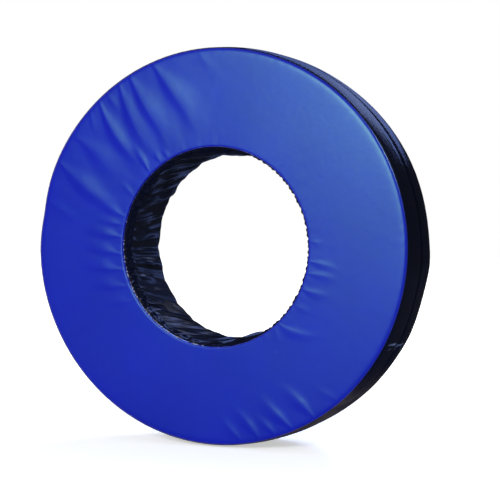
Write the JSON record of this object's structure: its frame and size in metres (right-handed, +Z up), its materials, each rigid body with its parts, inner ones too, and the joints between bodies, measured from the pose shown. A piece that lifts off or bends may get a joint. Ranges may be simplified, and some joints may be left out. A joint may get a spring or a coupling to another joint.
{
  "type": "tackle wheel",
  "caption": "Foam-filled vinyl ring that stands and rolls on its tread, with a gathered bore and a zip in the tread, for tackling practice.",
  "frame": {"origin": "the wheel's centre: the middle of its bore and of its thickness", "axes": "+Y along the spin axis, out of the rear face; the front face looks along -Y; +Z up, so the wheel stands on its tread at -Z"},
  "size_m": [1.205, 0.2515, 1.2],
  "materials": {
    "soft_foam": "cut open-cell foam",
    "firm_foam": "cut firm foam",
    "blue_vinyl": "satin vinyl-coated cloth",
    "black_vinyl": "glossy vinyl-coated cloth",
    "welt_vinyl": "glossy vinyl piping",
    "tape_cloth": "woven polyester tape",
    "tooth_resin": "moulded resin",
    "zip_metal": "nickel plate"
  },
  "bodies": {
    "wheel": {"foam_slab_front": "soft_foam", "foam_slab_middle": "firm_foam", "foam_slab_rear": "soft_foam", "face_panel_front": "blue_vinyl", "face_panel_rear": "blue_vinyl", "tread_strip_front": "black_vinyl", "tread_strip_rear": "black_vinyl", "bore_lining": "black_vinyl", "edge_welt_front": "welt_vinyl", "edge_welt_rear": "welt_vinyl", "centre_seam_tape": "tape_cloth", "zip_tape_front": "tape_cloth", "zip_tape_rear": "tape_cloth", "zip_teeth_front": "tooth_resin", "zip_teeth_rear": "tooth_resin", "zip_top_stop_front": "zip_metal", "zip_top_stop_rear": "zip_metal", "zip_box_stop": "zip_metal", "zip_patch_upper": "black_vinyl", "zip_patch_lower": "black_vinyl"},
    "slider": {"zip_slider": "zip_metal"},
    "pull_tab": {"zip_pull_tab": "zip_metal"}
  },
  "joints": [
    {"name": "slider_travel", "type": "hinge", "parent": "wheel", "child": "slider", "pos_m": [0, 0, 0], "axis": [0, 1, 0], "range_deg": [0, 78.4]},
    {"name": "pull_tab_swing", "type": "hinge", "parent": "slider", "child": "pull_tab", "pos_m": [-0.60268, 0, -0.00356], "axis": [0, 1, 0], "range_deg": [-3, 150]}
  ]
}
